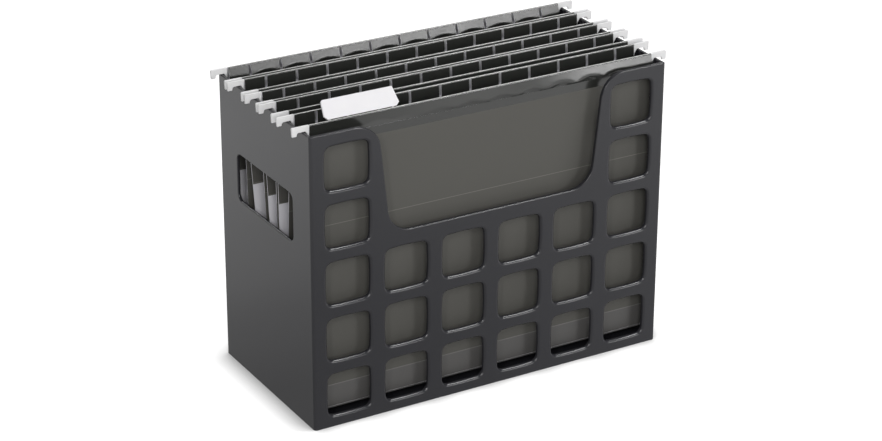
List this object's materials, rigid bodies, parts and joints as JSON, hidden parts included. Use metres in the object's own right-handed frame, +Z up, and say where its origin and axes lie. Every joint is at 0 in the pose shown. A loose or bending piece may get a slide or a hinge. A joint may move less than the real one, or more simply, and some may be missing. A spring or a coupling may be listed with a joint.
{
  "type": "desktop hanging file rack",
  "caption": "Open-topped desk rack with windowed front and rear panels and carrying holes, holding letter-size hanging folders on its end rails, one with an index tab.",
  "frame": {"origin": "middle of the footprint, on the surface the rack stands on", "axes": "+X along the wide front towards the right, +Y from the front panel to the rear panel, +Z up"},
  "size_m": [0.3264, 0.1508, 0.2576],
  "materials": {
    "rack_plastic": "fine satin",
    "folder_card": "matte pressed card with a coated band",
    "rod_steel": "plain",
    "hook_plastic": "white, smooth",
    "tab_plastic": "white, smooth",
    "slip_card": "plain card"
  },
  "bodies": {
    "rack": {"front_panel": "rack_plastic", "rear_panel": "rack_plastic", "left_end_panel": "rack_plastic", "right_end_panel": "rack_plastic", "base_tray": "rack_plastic"},
    "folder_1": {"folder_1_bottom_fold": "folder_card"},
    "folder_1_front": {"folder_1_front_flap": "folder_card", "folder_1_front_rod": "rod_steel", "folder_1_front_left_hook": "hook_plastic", "folder_1_front_right_hook": "hook_plastic"},
    "folder_1_rear": {"folder_1_rear_flap": "folder_card", "folder_1_rear_rod": "rod_steel", "folder_1_rear_left_hook": "hook_plastic", "folder_1_rear_right_hook": "hook_plastic"},
    "folder_2": {"folder_2_bottom_fold": "folder_card"},
    "folder_2_front": {"folder_2_front_flap": "folder_card", "folder_2_front_rod": "rod_steel", "folder_2_front_left_hook": "hook_plastic", "folder_2_front_right_hook": "hook_plastic"},
    "folder_2_rear": {"folder_2_rear_flap": "folder_card", "folder_2_rear_rod": "rod_steel", "folder_2_rear_left_hook": "hook_plastic", "folder_2_rear_right_hook": "hook_plastic"},
    "folder_3": {"folder_3_bottom_fold": "folder_card"},
    "folder_3_front": {"folder_3_front_flap": "folder_card", "folder_3_front_rod": "rod_steel", "folder_3_front_left_hook": "hook_plastic", "folder_3_front_right_hook": "hook_plastic"},
    "folder_3_rear": {"folder_3_rear_flap": "folder_card", "folder_3_rear_rod": "rod_steel", "folder_3_rear_left_hook": "hook_plastic", "folder_3_rear_right_hook": "hook_plastic"},
    "folder_4": {"folder_4_bottom_fold": "folder_card"},
    "folder_4_front": {"folder_4_front_flap": "folder_card", "folder_4_front_rod": "rod_steel", "folder_4_front_left_hook": "hook_plastic", "folder_4_front_right_hook": "hook_plastic"},
    "folder_4_rear": {"folder_4_rear_flap": "folder_card", "folder_4_rear_rod": "rod_steel", "folder_4_rear_left_hook": "hook_plastic", "folder_4_rear_right_hook": "hook_plastic"},
    "folder_5": {"folder_5_bottom_fold": "folder_card"},
    "folder_5_front": {"folder_5_front_flap": "folder_card", "folder_5_front_rod": "rod_steel", "folder_5_front_left_hook": "hook_plastic", "folder_5_front_right_hook": "hook_plastic"},
    "folder_5_rear": {"folder_5_rear_flap": "folder_card", "folder_5_rear_rod": "rod_steel", "folder_5_rear_left_hook": "hook_plastic", "folder_5_rear_right_hook": "hook_plastic"},
    "index_tab": {"index_tab": "tab_plastic"},
    "tab_slip": {"tab_slip": "slip_card"}
  },
  "joints": [
    {"name": "folder_1_lift", "type": "slide", "parent": "rack", "child": "folder_1", "axis": [0, 0, 1], "range_m": [0, 0.26]},
    {"name": "folder_1_front_swing", "type": "hinge", "parent": "folder_1", "child": "folder_1_front", "pos_m": [0, -0.06339, 0.0105], "axis": [1, 0, 0], "range_deg": [-2.7, 2]},
    {"name": "folder_1_rear_swing", "type": "hinge", "parent": "folder_1", "child": "folder_1_rear", "pos_m": [0, -0.0604, 0.0105], "axis": [1, 0, 0], "range_deg": [-0.75, 5]},
    {"name": "folder_2_lift", "type": "slide", "parent": "rack", "child": "folder_2", "axis": [0, 0, 1], "range_m": [0, 0.26]},
    {"name": "folder_2_front_swing", "type": "hinge", "parent": "folder_2", "child": "folder_2_front", "pos_m": [0, -0.0194, 0.0105], "axis": [1, 0, 0], "range_deg": [-4.4, 1.2]},
    {"name": "folder_2_rear_swing", "type": "hinge", "parent": "folder_2", "child": "folder_2_rear", "pos_m": [0, -0.01339, 0.0105], "axis": [1, 0, 0], "range_deg": [-0.4, 3.6]},
    {"name": "folder_3_lift", "type": "slide", "parent": "rack", "child": "folder_3", "axis": [0, 0.012, 0.9999], "range_m": [0, 0.26]},
    {"name": "folder_3_front_swing", "type": "hinge", "parent": "folder_3", "child": "folder_3_front", "pos_m": [0, -0.0106, 0.0105], "axis": [1, 0, 0], "range_deg": [-2, 0.4]},
    {"name": "folder_3_rear_swing", "type": "hinge", "parent": "folder_3", "child": "folder_3_rear", "pos_m": [0, -0.0074, 0.0105], "axis": [1, 0, 0], "range_deg": [-0.8, 4]},
    {"name": "folder_4_lift", "type": "slide", "parent": "rack", "child": "folder_4", "axis": [0, 0.0659, 0.9978], "range_m": [0, 0.26]},
    {"name": "folder_4_front_swing", "type": "hinge", "parent": "folder_4", "child": "folder_4_front", "pos_m": [0, 0.00059, 0.0105], "axis": [1, 0, 0], "range_deg": [-0.9, 0.8]},
    {"name": "folder_4_rear_swing", "type": "hinge", "parent": "folder_4", "child": "folder_4_rear", "pos_m": [0, 0.0096, 0.0105], "axis": [1, 0, 0], "range_deg": [-0.4, 5.2]},
    {"name": "folder_5_lift", "type": "slide", "parent": "rack", "child": "folder_5", "axis": [0, 0.0599, 0.9982], "range_m": [0, 0.26]},
    {"name": "folder_5_front_swing", "type": "hinge", "parent": "folder_5", "child": "folder_5_front", "pos_m": [0, 0.03461, 0.0105], "axis": [1, 0, 0], "range_deg": [-1.2, 0.4]},
    {"name": "folder_5_rear_swing", "type": "hinge", "parent": "folder_5", "child": "folder_5_rear", "pos_m": [0, 0.0426, 0.0105], "axis": [1, 0, 0], "range_deg": [0, 5.4]},
    {"name": "index_tab_pull", "type": "slide", "parent": "folder_1_front", "child": "index_tab", "axis": [0, 0, 1], "range_m": [0, 0.03]},
    {"name": "tab_slip_pull", "type": "slide", "parent": "index_tab", "child": "tab_slip", "axis": [-1, 0, 0], "range_m": [0, 0.062]}
  ]
}
